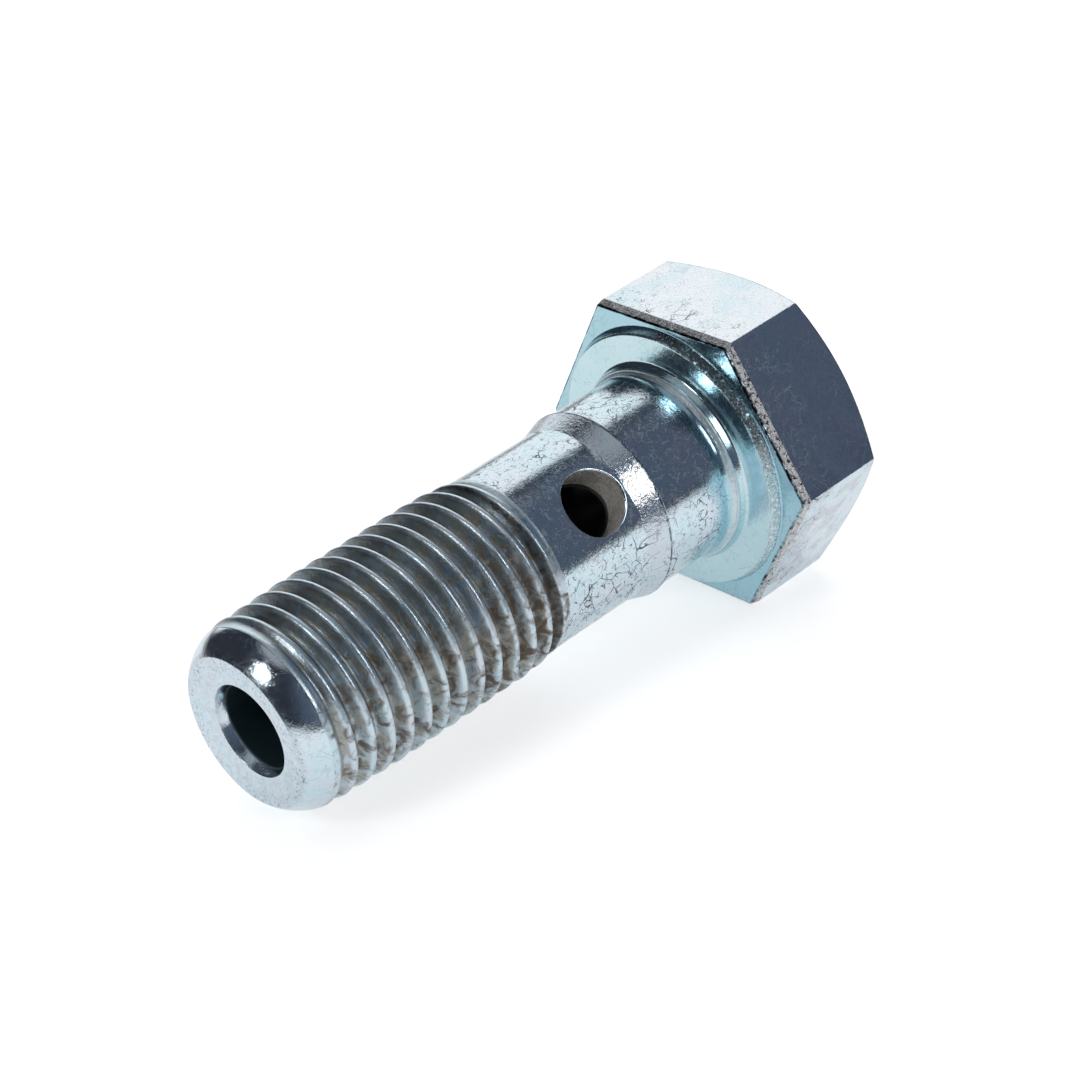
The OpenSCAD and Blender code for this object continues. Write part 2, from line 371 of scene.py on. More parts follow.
def crest_wear(z, turn):
    """How far crests are worn down at a height and an angle in radians: a slow wander with a few nicks."""
    along = z / PITCH
    slow = math.sin(2 * turn + 0.9 * along) * math.sin(3 * turn - 0.4 * along + 1.0)
    nick = math.sin(11 * turn + 2.3 * along) * math.sin(7 * turn - 1.7 * along + 2.0)
    nick *= math.sin(5 * turn + 3.1 * along)
    return CREST_WEAR * (0.3 * (slow + 1) / 2 + 0.7 * max(nick, 0.0) ** 2)


def flank_r(z, turn, offset):
    """Radius of the thread at a height and an angle in radians, a share of a pitch away from a crest."""
    depth = np.interp(abs(offset), *zip(*THREAD_FORM))
    worn = (1 - depth) ** 3 * (crest_r(z) - root_r(z)) / THREAD_DEPTH
    return crest_r(z) * (1 - depth) + root_r(z) * depth - crest_wear(z, turn) * worn


def border_of(columns, rings):
    """The border of a window in a grid of rings, counter-clockwise from its upper left corner."""
    left, right = columns[0], columns[-1]
    border = [ring[left] for ring in rings[:-1]]
    border += [rings[-1][c] for c in columns[:-1]]
    border += [ring[right] for ring in rings[:0:-1]]
    border += [rings[0][c] for c in columns[:0:-1]]
    return border


def window_columns(centre, half_width):
    """The columns within half_width degrees of an angle, in order."""
    off = (COLUMNS - centre + 180.0) % 360.0 - 180.0
    return sorted((c for c in range(N) if abs(off[c]) <= half_width + 1e-6), key=lambda c: off[c])


class Skin:
    """The vertices and faces of the bolt, upright and in millimetres. Every face looks out of the metal."""

    def __init__(self):
        self.points, self.faces = [], []

    def add(self, points):
        """New vertices, returned as their numbers."""
        first = len(self.points)
        self.points.extend(np.asarray(points, float).reshape(-1, 3))
        return list(range(first, len(self.points)))

    def ring(self, r, z, centre=(0.0, 0.0)):
        """One new vertex in every column."""
        r, z = np.broadcast_to(r, N), np.broadcast_to(z, N)
        return self.add(np.column_stack([centre[0] + r * np.cos(TURNS), centre[1] + r * np.sin(TURNS), z]))

    def strip(self, ring, after, closed_by=()):
        """Quads from one ring to the next along the outline, without the columns of an open window."""
        for c in range(N):
            d = (c + 1) % N
            if c not in closed_by:
                self.faces.append((ring[c], after[c], after[d], ring[d]))

    def band(self, loop, inner):
        """Quads from a loop to the next one inside it, both counter-clockwise seen from outside."""
        for i in range(len(loop)):
            j = (i + 1) % len(loop)
            self.faces.append((loop[i], loop[j], inner[j], inner[i]))

    def sew(self, loop, inner, loop_turn, inner_turn):
        """Triangles between two loops of different counts, matched by angles that rise along both."""
        n, m = len(loop), len(inner)
        off = (np.asarray(inner_turn) - loop_turn[0] + math.pi) % (2 * math.pi) - math.pi
        start = int(np.argmin(np.abs(off)))
        rise_a = np.unwrap(list(loop_turn) + [loop_turn[0]])
        order = [(start + k) % m for k in range(m + 1)]
        rise_b = np.unwrap([inner_turn[k] for k in order])
        rise_b = rise_b + 2 * math.pi * round((rise_a[0] - rise_b[0]) / (2 * math.pi))
        i = j = 0
        while i < n or j < m:
            if j >= m or (i < n and rise_a[i + 1] <= rise_b[j + 1]):
                self.faces.append((loop[i % n], loop[(i + 1) % n], inner[order[j]]))
                i += 1
            else:
                self.faces.append((loop[i % n], inner[order[j + 1]], inner[order[j]]))
                j += 1

    def lace(self, left, right):
        """Faces between two columns of numbered vertices: quads where the numbers agree, else triangles."""
        i = j = 0
        while i < len(left) - 1 or j < len(right) - 1:
            a = left[i + 1][0] if i < len(left) - 1 else -math.inf
            b = right[j + 1][0] if j < len(right) - 1 else -math.inf
            if a == b:
                self.faces.append((left[i][1], left[i + 1][1], right[j + 1][1], right[j][1]))
                i, j = i + 1, j + 1
            elif a > b:
                self.faces.append((left[i][1], left[i + 1][1], right[j][1]))
                i += 1
            else:
                self.faces.append((left[i][1], right[j + 1][1], right[j][1]))
                j += 1


class Bolt(Skin):
    """The whole skin, made along the outline from the top of the head to the point of the bore."""

    def build(self):
        """Each part takes the last ring of the one before."""
        last = self.head()
        last, mouths = self.shank(last)
        last = self.thread(last)
        last = self.tip(last)
        self.bore(last, mouths)

    def head(self):
        """The head, the washer boss, the die step and the collar, down to just under the ridge."""
        sections = np.array([head_outline(t) for t in TURNS])
        cut = int(np.argmin(np.abs(sections[0][:, 1] - (RIDGE_Z - HEAD_PAST))))
        sections = sections[:, :cut + 1]
        parts = [parts_between(sections[:, k], sections[:, k + 1]) for k in range(cut)]
        rings = [self.ring(sections[:, 0, 0], sections[:, 0, 1])]
        middle = self.add([(0.0, 0.0, TOP_Z)])[0]
        for c in range(N):
            self.faces.append((middle, rings[0][c], rings[0][(c + 1) % N]))
        for k in range(cut):
            for part in range(1, parts[k] + 1):
                share = part / parts[k]
                between = sections[:, k] * (1 - share) + sections[:, k + 1] * share
                rings.append(self.ring(between[:, 0], between[:, 1]))
                self.strip(rings[-2], rings[-1])
        return rings[-1]

    def shank(self, first):
        """The shoulder and the plain shank, with a window round each mouth of the cross hole."""
        top = self.points[first[0]][2]
        bend = SHAFT[(SHAFT[:, 1] < top - UNDER_RIDGE) & (SHAFT[:, 1] > CROSS_Z), 1]
        slope = np.arange(top - SLOPE_STEP, bend[0] + STEP_GAP, -SLOPE_STEP)
        straight = np.arange(SHANK_Z - STRAIGHT_IN, RUNOUT_Z + STEP_GAP, -SHANK_STEP)
        heights = sorted({*np.round([*slope, *bend, *straight], 4), RUNOUT_Z}, reverse=True)
        rings = [first] + [self.ring(shaft_r(z), z) for z in heights]
        heights = [top] + heights
        upper = max(k for k, z in enumerate(heights) if z >= CROSS_Z + WINDOW_H)
        lower = min(k for k, z in enumerate(heights) if z <= CROSS_Z - WINDOW_H)
        windows = [window_columns(math.degrees(turn), WINDOW_TURN) for turn in CROSS_TURNS]
        closed = {c for columns in windows for c in columns[:-1]}
        for k in range(len(rings) - 1):
            self.strip(rings[k], rings[k + 1], closed if upper <= k < lower else ())
        mouths = [self.cross_hole(border_of(columns, rings[upper:lower + 1]), turn)
                  for columns, turn in zip(windows, CROSS_TURNS)]
        return rings[-1], mouths

    def cross_hole(self, border, turn):
        """One wall of the cross hole, from its window in the shank to its edge in the bore."""
        out = np.array([math.cos(turn), math.sin(turn)])
        across = np.array([-out[1], out[0]])
        ends = np.array([self.points[v] for v in border])
        flat = np.column_stack([ends[:, :2] @ across, ends[:, 2] - CROSS_Z])
        angle = np.arctan2(flat[:, 1], flat[:, 0])
        unit = np.column_stack([np.cos(angle), np.sin(angle)])

        def surface(spot):
            return np.sqrt(shaft_r(CROSS_Z + spot[:, 1]) ** 2 - spot[:, 0] ** 2)

        def bore_surface(spot):
            aside = spot[:, 0] - BORE_CENTRE @ across
            return BORE_CENTRE @ out + np.sqrt(BORE_R ** 2 - aside ** 2)

        # The loops from the window inward, as places across the hole's axis and distances along it
        loops = []
        rim = unit * (CROSS_R + RIM_ROUND)
        for share in WINDOW_SHARES:
            spot = flat * (1 - share) + rim * share
            loops.append((spot, surface(spot)))
        for k in range(RIM_STEPS + 1):
            t = math.pi / 2 * k / RIM_STEPS
            spot = unit * (CROSS_R + RIM_ROUND * (1 - math.sin(t)))
            loops.append((spot, surface(spot) - RIM_ROUND * (1 - math.cos(t))))
        spot = unit * CROSS_R
        outer, inner = surface(spot) - RIM_ROUND, bore_surface(spot) + EDGE_BREAK
        for share in np.linspace(0.0, 1.0, WALL_STEPS + 1)[1:]:
            loops.append((spot, outer * (1 - share) + inner * share))
        for k in range(1, EDGE_STEPS + 1):
            t = math.pi / 2 * k / EDGE_STEPS
            spot = unit * (CROSS_R + EDGE_BREAK * (1 - math.cos(t)))
            loops.append((spot, bore_surface(spot) + EDGE_BREAK * (1 - math.sin(t))))
        last = border
        for spot, height in loops:
            places = height[:, None] * out + spot[:, :1] * across
            here = self.add(np.column_stack([places, CROSS_Z + spot[:, 1]]))
            self.band(last, here)
            last = here
        return last, angle, turn

    def thread(self, first):
        """The thread, with its vertices along the helix so that crests and roots are whole lines."""
        offsets = sorted({d for d, _ in THREAD_FORM} | {-d for d, _ in THREAD_FORM if 0 < d < 0.5})
        per_turn = len(offsets)
        columns = []
        for angle, turn in zip(COLUMNS, TURNS):
            base = CREST_Z + PITCH * (angle - CREST_TURN) / 360
            lines = {}
            for j in range(-TURNS_BELOW, TURNS_ABOVE + 1):
                for s, offset in enumerate(offsets):
                    z = base + PITCH * (j + offset)
                    if THREAD_END_Z + THREAD_GAP < z < RUNOUT_Z - THREAD_GAP:
                        r = flank_r(z, turn, offset)
                        lines[j * per_turn + s] = (r * math.cos(turn), r * math.sin(turn), z)
            keys = sorted(lines, reverse=True)
            columns.append(list(zip(keys, self.add([lines[k] for k in keys]))))
        last = self.ring(crest_r(THREAD_END_Z), THREAD_END_Z)
        for c in range(N):
            d = (c + 1) % N
            shift = per_turn if d == 0 else 0
            left = [(math.inf, first[c])] + columns[c] + [(-math.inf, last[c])]
            right = [(math.inf, first[d])] + [(k + shift, v) for k, v in columns[d]] + [(-math.inf, last[d])]
            self.lace(left, right)
        return last

    def tip(self, first):
        """The rounded end, the end face and the flared mouth of the bore."""
        centre_r, end_r = LEAD_R - TIP_ROUND, LEAD_R - TIP_DROP
        start, full = math.asin(TIP_FADE_PAST / TIP_ROUND), math.acos(1 - TIP_DROP / TIP_ROUND)
        arc = [(centre_r + TIP_ROUND * math.cos(t), ROUND_Z - TIP_ROUND * math.sin(t))
               for t in np.linspace(start, full, TIP_STEPS + 1)]
        edge = rounded([arc[-2], (end_r, TIP_Z), (end_r - FACE_REACH, TIP_Z)], [END_ROUND])
        mouth_r = BORE_R + MOUTH_FLARE
        mouth = rounded([(mouth_r + FACE_REACH, TIP_Z), (mouth_r, TIP_Z), (BORE_R, TIP_Z + MOUTH_L),
                         (BORE_R, TIP_Z + 2 * MOUTH_L)], [MOUTH_ROUND, FLARE_ROUND])
        rings = [first] + [self.ring(r, z) for r, z in [*arc[1:-1], *edge[1:-1]]]
        outer, inner = edge[-2][0], mouth[1][0]
        for k in range(1, FACE_STEPS):
            share = k / FACE_STEPS
            rings.append(self.ring(outer * (1 - share) + inner * share, TIP_Z, BORE_CENTRE * share))
        rings += [self.ring(r, z, BORE_CENTRE) for r, z in mouth[1:]]
        for ring, after in zip(rings, rings[1:]):
            self.strip(ring, after)
        return rings[-1]

    def bore(self, first, mouths):
        """The wall of the bore, with the inner edges of the cross hole, and the drill point."""
        start = TIP_Z + 2 * MOUTH_L
        low, high = CROSS_Z - BORE_WINDOW_H, CROSS_Z + BORE_WINDOW_H
        heights = [*np.linspace(start, low, BORE_STEPS + 1)[1:],
                   *np.linspace(low, high, BORE_WINDOW_STEPS + 1)[1:], BORE_END_Z]
        rings = [first] + [self.ring(BORE_R, z, BORE_CENTRE) for z in heights]
        lower, upper = BORE_STEPS, BORE_STEPS + BORE_WINDOW_STEPS
        windows = [window_columns(math.degrees(turn), BORE_WINDOW_TURN) for _, _, turn in mouths]
        closed = {c for columns in windows for c in columns[:-1]}
        for k in range(len(rings) - 1):
            self.strip(rings[k], rings[k + 1], closed if lower <= k < upper else ())
        for (loop, angle, turn), columns in zip(mouths, windows):
            across = np.array([-math.sin(turn), math.cos(turn)])
            border = border_of(columns, rings[upper:lower - 1:-1])
            ends = np.array([self.points[v] for v in border])
            border_angle = np.arctan2(ends[:, 2] - CROSS_Z, ends[:, :2] @ across)
            self.sew(loop, border, angle, border_angle)
        point = rings[-1]
        for share in POINT_SHARES:
            z = BORE_END_Z + (DRILL_TIP_Z - BORE_END_Z) * share
            here = self.ring(BORE_R * (1 - share), z, BORE_CENTRE)
            self.strip(point, here)
            point = here
        middle = self.add([(*BORE_CENTRE, DRILL_TIP_Z)])[0]
        for c in range(N):
            self.faces.append((middle, point[(c + 1) % N], point[c]))


def laid_down():
    """The matrix from the upright bolt in millimetres to its place in the frame, by the thread's mount."""
    mount = next(m for m in frame["record"]["mounts"] if m["name"] == "thread")
    axis = -Vector(mount["axis"]).normalized()
    side = Vector((0.0, 1.0, 0.0))
    turn = Matrix((side.cross(axis), side, axis)).transposed().to_4x4()
    middle = Matrix.Translation((0.0, 0.0, -(FULL_Z + LEAD_Z) / 2))
    return Matrix.Translation(mount["pos_m"]) @ turn @ Matrix.Scale(MM, 4) @ middle


def groove_depth(points):
    """How deep each vertex lies in the thread, from 0 at the crests to 1 at the full depth of the roots."""
    r, z = np.hypot(points[:, 0], points[:, 1]), points[:, 2]
    threaded = (z < RUNOUT_Z) & (z > THREAD_END_Z) & (r > BORE_R + 2 * BORE_OFF)
    return np.where(threaded, np.clip((crest_r(z) - r) / THREAD_DEPTH, 0.0, 1.0), 0.0)


def bolt_mesh():
    """The bolt's mesh in its place, without the vertices that the windows left over.

    It carries two attributes for the finish: groove, and upright, the place on the upright bolt.
    """
    bolt = Bolt()
    bolt.build()
    used = sorted({v for face in bolt.faces for v in face})
    number = {v: k for k, v in enumerate(used)}
    points = np.array(bolt.points)[used]
    mesh = bpy.data.meshes.new(NODE)
    mesh.from_pydata([tuple(p) for p in points], [], [[number[v] for v in face] for face in bolt.faces])
    groove = mesh.attributes.new("groove", "FLOAT", "POINT")
    groove.data.foreach_set("value", groove_depth(points).astype(np.float32))
    upright = mesh.attributes.new("upright", "FLOAT_VECTOR", "POINT")
    upright.data.foreach_set("vector", points.astype(np.float32).ravel())
    mesh.transform(laid_down())
    mesh.shade_smooth()
    return mesh


class Graph:
    """Short ways to add and link the nodes of a material or the world."""

    def __init__(self, tree):
        self.nodes, self.links = tree.nodes, tree.links

    def put(self, value, socket):
        """Links a socket to an input, or sets the input to a value."""
        if isinstance(value, bpy.types.NodeSocket):
            self.links.new(value, socket)
        elif isinstance(value, tuple) and len(value) == 3 and socket.type == "RGBA":
            socket.default_value = (*value, 1.0)
        else:
            socket.default_value = value

    def add(self, kind, **inputs):
        """A new node with some of its inputs, whose names are written with _ for a space."""
        node = self.nodes.new("ShaderNode" + kind)
        for name, value in inputs.items():
            self.put(value, node.inputs[name.replace("_", " ")])
        return node

    def math(self, operation, a, b=0.0, clamp=False):
        node = self.nodes.new("ShaderNodeMath")
        node.operation, node.use_clamp = operation, clamp
        self.put(a, node.inputs[0])
        self.put(b, node.inputs[1])
        return node.outputs[0]

    def chain(self, operation, values):
        result = values[0]
        for value in values[1:]:
            result = self.math(operation, result, value)
        return result

    def product(self, *values):
        return self.chain("MULTIPLY", values)

    def total(self, *values):
        return self.chain("ADD", values)

    def top(self, *values):
        """The greatest of some values."""
        return self.chain("MAXIMUM", values)

    def rest(self, value):
        """What a value leaves of 1."""
        return self.math("SUBTRACT", 1.0, value, clamp=True)

    def vector(self, operation, a, b=(0.0, 0.0, 0.0)):
        node = self.nodes.new("ShaderNodeVectorMath")
        node.operation = operation
        self.put(a, node.inputs[0])
        self.put(b, node.inputs[1])
        return node.outputs["Value" if operation in ("DOT_PRODUCT", "LENGTH") else "Vector"]

    def ramp(self, value, lo, hi, start=0.0, end=1.0):
        """start at lo, end at hi, and an eased ramp between."""
        node = self.add("MapRange", Value=value, From_Min=lo, From_Max=hi, To_Min=start, To_Max=end)
        node.interpolation_type = "SMOOTHSTEP"
        return node.outputs["Result"]

    def between(self, value, lo, hi, soft):
        """1 from lo to hi, and 0 beyond them."""
        return self.product(self.ramp(value, lo - soft, lo), self.ramp(value, hi, hi + soft, 1.0, 0.0))

    def mix(self, factor, a, b):
        """The colour a, with a share of the colour b."""
        node = self.nodes.new("ShaderNodeMix")
        node.data_type = "RGBA"
        self.put(factor, node.inputs["Factor"])
        for name, color in (("A", a), ("B", b)):
            self.put(color, next(s for s in node.inputs if s.name == name and s.type == "RGBA"))
        return next(s for s in node.outputs if s.type == "RGBA")

    def noise(self, place, scale, detail=2.0, roughness=0.5, distortion=0.0):
        return self.add("TexNoise", Vector=place, Scale=scale, Detail=detail, Roughness=roughness,
                        Distortion=distortion)

    def cell_edge(self, place, scale):
        """Distance to the nearest edge of some irregular cells."""
        node = self.nodes.new("ShaderNodeTexVoronoi")
        node.feature = "DISTANCE_TO_EDGE"
        self.put(place, node.inputs["Vector"])
        self.put(scale, node.inputs["Scale"])
        return node.outputs["Distance"]

    def attribute(self, name, output="Fac"):
        node = self.nodes.new("ShaderNodeAttribute")
        node.attribute_name = name
        return node.outputs[output]

    def bump(self, height, distance):
        return self.add("Bump", Height=height, Distance=distance, Strength=1.0).outputs["Normal"]


def spot_on_bolt(g):
    """Where the shaded spot is on the upright bolt, in millimetres and radians, and how deep in a groove."""
    at = SimpleNamespace(place=g.attribute("upright", "Vector"), groove=g.attribute("groove"))
    at.x, at.y, at.z = g.add("SeparateXYZ", Vector=at.place).outputs
    at.r = g.vector("LENGTH", g.vector("MULTIPLY", at.place, (1.0, 1.0, 0.0)))
    at.turn = g.math("ARCTAN2", at.y, at.x)
    flats = [(math.cos(t), math.sin(t), 0.0) for t in np.radians((0.0, 60.0, 120.0)).tolist()]
    at.across = g.top(*[g.math("ABSOLUTE", g.vector("DOT_PRODUCT", at.place, flat)) for flat in flats])
    return at


def plate_noise(g, place):
    """The noises of the finish, and the place warped by two of them."""
    nodes = {name: g.noise(place, *values) for name, values in NOISES.items()}
    noise = SimpleNamespace(**{name: node.outputs["Fac"] for name, node in nodes.items()})
    noise.warped = place
    for name, reach in WARPS.items():
        warp = g.vector("MULTIPLY", nodes[name].outputs["Color"], (reach, reach, reach))
        noise.warped = g.vector("ADD", noise.warped, warp)
    noise.wander = g.math("SUBTRACT", noise.mottle, 0.5)
    return noise


def find_shaft_places(g, at, noise):
    """Adds the places of the shaft and the passages, as masks from 0 to 1."""
    bore_reach = BORE_R + BORE_OFF
    at.in_bore = g.product(g.between(at.z, *BANDS["bore"]),
                           g.ramp(at.r, bore_reach + 0.2, bore_reach + 0.3, 1.0, 0.0))
    at.in_wall = g.product(g.between(at.z, *BANDS["cross_hole"]),
                           g.ramp(at.r, SHANK_R - 0.1, SHANK_R - 0.05, 1.0, 0.0))
    at.outside = g.rest(g.top(at.in_bore, at.in_wall))
    at.threaded = g.product(g.between(at.z, *BANDS["thread"]), at.outside)
    at.ragged = g.total(at.z, g.product(noise.wander, 0.3))
    at.shoulder = g.product(g.between(at.ragged, *BANDS["shoulder"]), at.outside)
    # The shoulder's patch is scuffed and is also a painted highlight of the side lamp
    worn_side = g.between(g.total(at.turn, g.product(noise.wander, 0.12)), *SCUFF_SHEEN_TURNS, 0.04)
    at.scuff = g.product(at.shoulder, worn_side)
    at.ridge = g.between(at.z, *BANDS["ridge"])
    at.tip = g.ramp(at.z, THREAD_END_Z + 0.1, THREAD_END_Z + 0.2, 1.0, 0.0)
    at.end_face = g.product(g.ramp(at.z, TIP_Z + 0.02, TIP_Z + 0.3, 1.0, 0.0), at.outside)


def find_head_places(g, at, noise):
    """Adds the places of the head, the washer boss and the die step."""
    at.head = g.ramp(at.z, WASHER_H + 0.3, WASHER_H + 0.6)
    at.die_edge = g.product(g.between(at.z, *BANDS["die_edge"]),
                            g.ramp(at.across, FLAT_R - 0.3, FLAT_R - 0.2))
    at.seam = g.product(g.between(at.z, *BANDS["seam"]), g.ramp(at.across, FLAT_R - 0.2, FLAT_R - 0.15))
    at.rim = g.product(g.between(at.z, *BANDS["rim"]), g.ramp(at.r, COLLAR_R + 0.04, COLLAR_R + 0.1))
    at.film = g.product(
        g.ramp(g.total(at.z, g.product(noise.wander, 0.5)), FILLET_Z - 0.2, FILLET_Z + 0.7),
        g.ramp(at.z, WASHER_H + 0.03, WASHER_H + 0.07, 1.0, 0.0))
    # The hollows that are painted deeper teal as shade
    at.hollow = g.top(g.between(at.z, *BANDS["hollow"]), g.between(at.z, *BANDS["washer_foot"]))
    at.washer_wall = g.product(g.between(at.ragged, *BANDS["washer_wall"]),
                               g.ramp(at.z, WASHER_H - 0.08, WASHER_H - 0.02, 1.0, 0.0),
                               g.between(at.r, WASHER_FACE_R - 0.03, WASHER_FOOT_R, 0.04))
    at.grit = g.product(at.washer_wall, g.between(at.turn, *GRIT_TURNS, 0.25),
                        g.ramp(noise.pits, 0.36, 0.46))
    at.scale = g.product(at.washer_wall, g.between(at.turn, *SCALE_TURNS, 0.3),
                         g.ramp(noise.pits, 0.44, 0.54))
    at.upper = g.product(g.ramp(g.math("DIVIDE", at.x, at.r), *UPPER_COSINES, 1.0, 0.0),
                         g.ramp(at.across, FLAT_R - 0.4, FLAT_R - 0.3))
    corner = [math.cos(math.radians(angle)) for angle in CORNER_ANGLES]
    at.corner = g.product(g.ramp(g.math("DIVIDE", at.across, at.r), *corner, 1.0, 0.0), at.head,
                          g.ramp(at.r, FLAT_R, FLAT_R + 0.3))
    crown = g.total(at.z, g.product(g.math("SUBTRACT", at.r, CROWN_R), CROWN_SLOPE),
                    g.product(noise.wander, 0.1))
    at.crown_edge = g.product(g.ramp(crown, TOP_Z - 0.12, TOP_Z - 0.04),
                              g.ramp(at.across, FLAT_R - 0.1, FLAT_R - 0.04))


def find_cracks(g, at, noise):
    """Adds the crazing of the plate, broken lines in patches, and the plain plate that it is in."""
    lines = []
    for scale, width, cover, strength in CRAZING:
        line = g.ramp(g.cell_edge(noise.warped, scale), width * 0.3, width, 1.0, 0.0)
        patch = g.ramp(g.noise(at.place, scale * 0.9, 1.0).outputs["Fac"], cover, cover + 0.08)
        lines.append(g.product(line, patch, strength))
    coated = g.top(at.threaded, g.product(at.film, 0.9), g.product(at.tip, 0.9), g.product(at.shoulder, 0.6))
    at.plain = g.product(at.outside, g.rest(coated))
    patches = g.ramp(g.total(noise.cloud, g.product(at.head, -0.08)), 0.38, 0.56, 0.3, 1.0)
    fewer_above = g.ramp(g.total(at.z, g.product(noise.wander, 4.0)), *FEWER_CRACKS, 1.0, 0.15)
    at.cracks = g.product(g.top(*lines), at.plain, at.outside, patches, fewer_above)


def find_stains(g, at, noise):
    """Adds the stains in the thread, its cream corrosion, and the specks of the die edge and the end face.

    lower is high on the side of the thread that faces the ground and the camera.
    """
    at.lower = g.total(g.product(at.y, -0.16), g.product(at.x, 0.05), -0.5)
    stain = g.total(noise.soiling, g.product(at.groove, 0.14), g.product(at.lower, 0.3),
                    g.ramp(at.z, STAIN_FROM_Z, THREAD_START_Z, -0.03, 0.05))
    stain = g.product(g.ramp(stain, 0.52, 0.8), at.threaded, 0.85)
    at.stain = g.top(stain, g.product(g.ramp(at.groove, 0.85, 1.0), at.threaded, 0.4))
    at.first_groove = g.product(g.between(at.z, *BANDS["first_groove"]), g.ramp(at.groove, 0.04, 0.16),
                                g.ramp(noise.mottle, 0.3, 0.6, 0.95, 0.65))
    at.cream = g.product(g.ramp(g.total(noise.cloud, g.product(at.lower, 0.5)), 0.54, 0.68), at.threaded,
                         g.ramp(at.groove, 0.1, 0.3), 0.6)
    at.edge_specks = g.product(at.die_edge, g.ramp(noise.pits, 0.55, 0.62))
    at.face_specks = g.product(at.end_face, g.ramp(noise.pits, 0.58, 0.66),
                               g.ramp(at.r, *FACE_SPECK_R, 0.2, 1.0))


def plate_coats(g, at, noise):
    """The clean plate's coats over its first colour, each as its cover and its colour, with a painted
    highlight on the uppermost flat and painted shade down the head, in the hollows and on the thread's
    flanks.
    """
    # Grey: mottled on the end face and the shoulder, and on the head painted greyer towards the ground as
    # painted shade
    grey_and_shade = g.top(g.product(at.end_face, g.ramp(noise.mottle, 0.3, 0.7, 0.6, 0.1)),
                 g.product(at.head, g.ramp(noise.cloud, 0.42, 0.6), g.ramp(at.x, *HEAD_SHADE_X, 0.05, 0.7)),
                 g.product(at.shoulder, 0.3))
    # The flanks get a slate and olive coat: partly a dull film, partly painted shade that leaves the crests
    # bright as a painted highlight. It is thinner on the lower side, as painted light from the floor
    flank_shade = g.total(at.groove, g.product(g.math("SUBTRACT", noise.grain, 0.5), 0.12))
    flank_shade = g.product(at.threaded, g.ramp(flank_shade, 0.06, 0.3, 0.0, 1.0), g.ramp(at.lower, -0.1, 0.3, 1.0, 0.4))
    return [
        (g.ramp(noise.mottle, 0.35, 0.65, 0.2, 0.8), ZINC),
        (grey_and_shade, ZINC_GREY),
        # The uppermost flat of the head is painted brighter: a painted reflection of the backdrop
        (g.product(at.upper, at.head, g.ramp(noise.drift, 0.4, 0.65, 0.9, 0.3)), ZINC_HIGHLIGHT),
        (g.product(at.film, g.ramp(noise.drift, 0.3, 0.6, 0.6, 1.0)), TEAL_FILM),
        # The fillet and the foot of the washer boss are painted deeper teal: painted shade in the hollows
        (g.product(at.hollow, 0.65), TEAL_SHADE),
        (flank_shade, g.mix(g.ramp(noise.soiling, 0.35, 0.6), THREAD_SLATE_SHADE, THREAD_OLIVE)),
    ]


def worn_coats(g, at, noise):
    """The coats of wear and dirt, of painted shade in the seam, under the ridge and deep in the bore, and of
    the walls inside, in the order in which they lie. The shoulder's scuff is also a painted highlight.
    """
    seam_shade = g.ramp(g.total(noise.mottle, g.product(at.x, -0.012)), 0.4, 0.6, 0.25, 1.0)
    edge_dirt = g.top(at.edge_specks, g.product(at.upper, g.ramp(noise.pits, 0.4, 0.62, 0.9, 0.3)))
    return [
        (at.cream, CREAM),
        (g.product(g.ramp(noise.grain, 0.5, 0.66, 0.0, 0.2), at.plain), CRACK),
        (g.top(g.product(at.cracks, 0.9), g.product(at.face_specks, 0.6)), CRACK),
        # A whitish scuff on the shoulder, partly a painted highlight, and wear on the rim
        (g.top(at.scuff, g.product(at.rim, 0.5)),
         g.mix(g.ramp(noise.pits, 0.5, 0.62, 0.0, 0.6), SCUFF, ZINC_GREY)),
        (at.stain, STAIN),
        (at.first_groove, GRIT),
        # The seam is painted black: a painted shadow in the crease
        (g.product(at.seam, seam_shade), SHADE_BLACK),
        # A dark line under the ridge: painted shade below its edge
        (g.product(at.ridge, g.ramp(noise.mottle, 0.35, 0.55, 0.2, 0.85)), CRACK),
        (at.die_edge, g.mix(edge_dirt, SCUFF, CRACK)),
        (g.product(at.grit, 0.85), GRIT),
        (g.product(at.scale, 0.7), SCUFF),
        (g.product(at.crown_edge, g.ramp(noise.mottle, 0.4, 0.6, 0.6, 0.1)), CRACK),
        (at.in_wall, WALL_FILM),
        # The bore is painted near-black, darker further in: painted shade
        (at.in_bore, g.mix(g.ramp(at.z, *BORE_SHADE_Z), BORE_SHADE, SHADE_BLACK)),
    ]


def plate_surface(g, at, noise):
    """How metallic and how rough the plate is, and its relief in millimetres."""
    at.dull = g.top(at.stain, at.cream, at.in_bore)
    at.coarse = g.top(at.die_edge, at.washer_wall, at.in_wall)
    at.dirty = g.top(at.dull, at.cracks)

    def shares(table):
        return [g.product(getattr(at, name), share) for name, share in table.items()]

    metallic = g.math("SUBTRACT", 1.0, g.top(*shares(DIELECTRIC)))
    rough = g.total(g.ramp(noise.mottle, 0.3, 0.7, *ROUGHNESS), *shares(ROUGHER))
    uneven = g.total(g.product(noise.grain, 0.4), noise.mottle)
    relief = g.total(g.product(uneven, at.outside, g.ramp(at.head, 0.0, 1.0, PLATE_RELIEF, HEAD_RELIEF)),
                     g.product(noise.pits, g.top(*shares(PITTED))))
    return metallic, rough, relief


